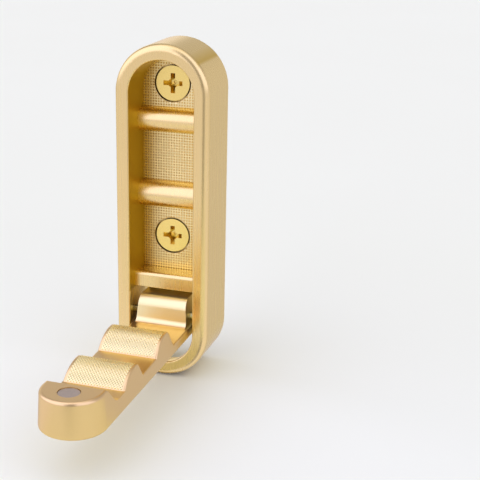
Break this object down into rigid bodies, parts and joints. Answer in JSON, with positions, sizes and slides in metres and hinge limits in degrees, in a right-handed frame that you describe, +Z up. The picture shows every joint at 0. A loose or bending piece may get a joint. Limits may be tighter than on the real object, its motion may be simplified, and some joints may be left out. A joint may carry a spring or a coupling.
{
  "type": "folding wall hook",
  "caption": "Wall hook whose arm folds up flush into its oblong housing, with ridges to hold hangers and a magnet at the tip.",
  "frame": {"origin": "centre of the housing's back face, on the wall plane", "axes": "+Y into the wall, +Z up, +X along the hinge pin; the front faces -Y and the arm points to -Y when open"},
  "size_m": [0.024, 0.0939, 0.0844],
  "materials": {
    "housing_metal": "satin brushed",
    "arm_metal": "satin brushed",
    "pin_steel": "polished",
    "magnet": "satin nickel",
    "screw_metal": "satin"
  },
  "bodies": {
    "base": {"housing": "housing_metal", "hinge_pin": "pin_steel", "screw_top": "screw_metal", "screw_lower": "screw_metal"},
    "arm": {"hook_arm": "arm_metal", "tip_magnet": "magnet"}
  },
  "joints": [
    {"name": "arm_fold", "type": "hinge", "parent": "base", "child": "arm", "pos_m": [0, -0.0111, -0.0265], "axis": [-1, 0, 0], "range_deg": [0, 90]}
  ]
}
